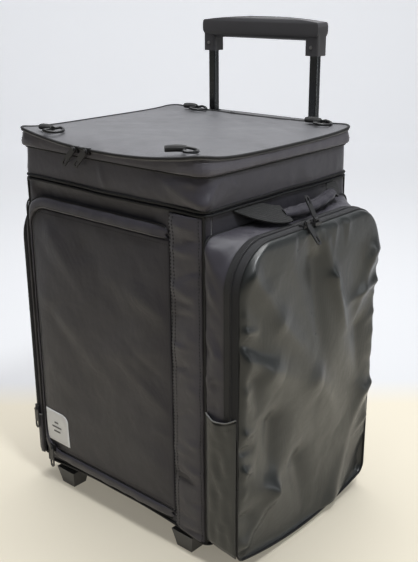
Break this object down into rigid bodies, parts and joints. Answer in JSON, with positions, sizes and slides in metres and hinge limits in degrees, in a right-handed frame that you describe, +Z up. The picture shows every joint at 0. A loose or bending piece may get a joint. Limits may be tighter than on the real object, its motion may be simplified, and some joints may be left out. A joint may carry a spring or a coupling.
{
  "type": "wheeled trolley bag",
  "caption": "Soft-sided wheeled bag with a zipped lid, front door, side pockets, grab handles and a telescopic pull handle.",
  "frame": {"origin": "on the floor, under the middle of the bounding box", "axes": "+Z up; -Y towards the front door, +Y towards the pull handle, +X towards the full side pocket"},
  "size_m": [0.4578, 0.3578, 0.7157],
  "materials": {
    "body_fabric": "coated nylon, satin",
    "lid_fabric": "coated nylon, satin",
    "pocket_fabric": "coated nylon, semi-gloss",
    "trim": "black binding",
    "zip_tape": "ribbed zip cover",
    "webbing": "woven webbing",
    "black_plastic": "moulded, fine grain",
    "grip_plastic": "moulded, satin",
    "board": "hollow board",
    "tube_black": "black anodised, satin",
    "tube_silver": "satin",
    "metal_black": "black, satin",
    "steel": "plated",
    "rubber": "matte",
    "label_white": "woven label"
  },
  "bodies": {
    "bag": {"main_shell": "body_fabric", "front_frame": "body_fabric", "collar": "body_fabric", "zip_band": "body_fabric", "seam_piping": "trim", "base_board": "board", "front_zip_strip": "trim", "right_pocket_shell": "pocket_fabric", "right_pocket_zip": "zip_tape", "right_slip_pockets": "pocket_fabric", "left_pocket_shell": "pocket_fabric", "left_pocket_zip": "zip_tape", "left_slip_pockets": "pocket_fabric", "rear_cover": "body_fabric", "top_bracket": "black_plastic", "base_bar": "black_plastic", "frame_screws": "steel", "outer_tube_left": "tube_silver", "outer_tube_right": "tube_silver", "wheel_housing_left": "black_plastic", "wheel_housing_right": "black_plastic", "axle_pins": "steel", "foot_left": "black_plastic", "foot_right": "black_plastic"},
    "lid": {"lid_panel": "lid_fabric", "lid_piping": "trim", "lid_tabs": "webbing"},
    "ring_front_left": {"d_ring_front_left": "metal_black"},
    "ring_front_right": {"d_ring_front_right": "metal_black"},
    "ring_rear_left": {"d_ring_rear_left": "metal_black"},
    "ring_rear_right": {"d_ring_rear_right": "metal_black"},
    "door": {"front_door": "body_fabric", "door_label": "label_white"},
    "right_flap": {"right_pocket_flap": "pocket_fabric"},
    "left_flap": {"left_pocket_flap": "pocket_fabric"},
    "mid_stage": {"mid_tube_left": "tube_black", "mid_tube_right": "tube_black"},
    "handle": {"inner_tube_left": "tube_black", "inner_tube_right": "tube_black", "grip": "grip_plastic", "grip_screws": "steel"},
    "button": {"release_button": "black_plastic"},
    "wheel_left": {"tyre_left": "rubber", "hub_left": "black_plastic"},
    "wheel_right": {"tyre_right": "rubber", "hub_right": "black_plastic"},
    "slider_lid_left": {"lid_slider_left": "metal_black"},
    "pull_lid_left": {"lid_pull_left": "metal_black"},
    "slider_lid_right": {"lid_slider_right": "metal_black"},
    "pull_lid_right": {"lid_pull_right": "metal_black"},
    "slider_top_rear": {"pocket_slider_rear": "metal_black"},
    "pull_top_rear": {"pocket_pull_rear": "metal_black"},
    "slider_top_front": {"pocket_slider_front": "metal_black"},
    "pull_top_front": {"pocket_pull_front": "metal_black"},
    "slider_side": {"side_slider": "metal_black"},
    "pull_side": {"side_pull": "metal_black"},
    "slider_door": {"door_slider": "metal_black"},
    "pull_door": {"door_pull": "metal_black"},
    "grab_right": {"right_grab_handle": "webbing"},
    "grab_left": {"left_grab_handle": "webbing"}
  },
  "joints": [
    {"name": "lid_hinge", "type": "hinge", "parent": "bag", "child": "lid", "pos_m": [-0.02472, 0.1483, 0.563], "axis": [-1, 0, 0], "range_deg": [0, 45]},
    {"name": "ring_front_left_flip", "type": "hinge", "parent": "lid", "child": "ring_front_left", "pos_m": [-0.14672, -0.1541, 0.5725], "axis": [0, -1, 0], "range_deg": [0, 150]},
    {"name": "ring_front_right_flip", "type": "hinge", "parent": "lid", "child": "ring_front_right", "pos_m": [0.10328, -0.1501, 0.5725], "axis": [0.6691, -0.7431, 0], "range_deg": [0, 150]},
    {"name": "ring_rear_left_flip", "type": "hinge", "parent": "lid", "child": "ring_rear_left", "pos_m": [-0.13672, 0.1349, 0.5725], "axis": [0, -1, 0], "range_deg": [0, 150]},
    {"name": "ring_rear_right_flip", "type": "hinge", "parent": "lid", "child": "ring_rear_right", "pos_m": [0.10728, 0.1339, 0.5725], "axis": [0, -1, 0], "range_deg": [0, 150]},
    {"name": "door_hinge", "type": "hinge", "parent": "bag", "child": "door", "pos_m": [0.09028, -0.1701, 0.26], "axis": [0, 0, 1], "range_deg": [0, 115]},
    {"name": "right_flap_fold", "type": "hinge", "parent": "bag", "child": "right_flap", "pos_m": [0.21628, -0.0111, 0.1445], "axis": [0, 1, 0], "range_deg": [0, 100]},
    {"name": "left_flap_fold", "type": "hinge", "parent": "bag", "child": "left_flap", "pos_m": [-0.22072, -0.0111, 0.1125], "axis": [0, -1, 0], "range_deg": [0, 100]},
    {"name": "handle_mid_slide", "type": "slide", "parent": "bag", "child": "mid_stage", "axis": [0, 0, 1], "range_m": [0, 0.2]},
    {"name": "handle_inner_slide", "type": "slide", "parent": "mid_stage", "child": "handle", "axis": [0, 0, 1], "range_m": [-0.088, 0.12]},
    {"name": "button_press", "type": "slide", "parent": "handle", "child": "button", "axis": [0, 0, -1], "range_m": [0, 0.003], "stiffness_N_per_m": 400, "springref_m": -0.002},
    {"name": "wheel_left_spin", "type": "hinge", "parent": "bag", "child": "wheel_left", "pos_m": [-0.16472, 0.1389, 0.028], "axis": [1, 0, 0], "continuous": true},
    {"name": "wheel_right_spin", "type": "hinge", "parent": "bag", "child": "wheel_right", "pos_m": [0.11528, 0.1389, 0.028], "axis": [1, 0, 0], "continuous": true},
    {"name": "lid_slider_left_run", "type": "slide", "parent": "bag", "child": "slider_lid_left", "axis": [1, 0, 0], "range_m": [-0.085, 0]},
    {"name": "lid_slider_right_run", "type": "slide", "parent": "bag", "child": "slider_lid_right", "axis": [1, 0, 0], "range_m": [0, 0.16]},
    {"name": "lid_pull_left_turn", "type": "hinge", "parent": "slider_lid_left", "child": "pull_lid_left", "pos_m": [-0.07672, -0.17575, 0.555], "axis": [0, 1, 0], "range_deg": [0, 100]},
    {"name": "lid_pull_right_turn", "type": "hinge", "parent": "slider_lid_right", "child": "pull_lid_right", "pos_m": [-0.05272, -0.17575, 0.555], "axis": [0, 1, 0], "range_deg": [0, 12]},
    {"name": "pocket_slider_front_run", "type": "slide", "parent": "bag", "child": "slider_top_front", "axis": [0, 1, 0], "range_m": [-0.08, 0]},
    {"name": "pocket_slider_rear_run", "type": "slide", "parent": "bag", "child": "slider_top_rear", "axis": [0, 1, 0], "range_m": [0, 0.1]},
    {"name": "pocket_pull_front_lift", "type": "hinge", "parent": "slider_top_front", "child": "pull_top_front", "pos_m": [0.20628, -0.0321, 0.4734], "axis": [0, -1, 0], "range_deg": [0, 140]},
    {"name": "pocket_pull_rear_lift", "type": "hinge", "parent": "slider_top_rear", "child": "pull_top_rear", "pos_m": [0.20628, -0.0121, 0.4734], "axis": [0, 1, 0], "range_deg": [0, 100]},
    {"name": "side_slider_run", "type": "slide", "parent": "bag", "child": "slider_side", "axis": [0, 0, 1], "range_m": [0, 0.26]},
    {"name": "side_pull_swing", "type": "hinge", "parent": "slider_side", "child": "pull_side", "pos_m": [-0.21072, -0.17235, 0.12], "axis": [0, 1, 0], "range_deg": [-80, 80]},
    {"name": "door_slider_run", "type": "slide", "parent": "door", "child": "slider_door", "axis": [1, 0, 0], "range_m": [0, 0.24]},
    {"name": "door_pull_swing", "type": "hinge", "parent": "slider_door", "child": "pull_door", "pos_m": [-0.17372, -0.17635, 0.064], "axis": [0, 1, 0], "range_deg": [-80, 80]},
    {"name": "grab_right_lift", "type": "hinge", "parent": "bag", "child": "grab_right", "pos_m": [0.15228, -0.0111, 0.4945], "axis": [0, -1, 0], "range_deg": [0, 85]},
    {"name": "grab_left_lift", "type": "hinge", "parent": "bag", "child": "grab_left", "pos_m": [-0.20172, -0.0111, 0.4945], "axis": [0, 1, 0], "range_deg": [0, 85]}
  ]
}
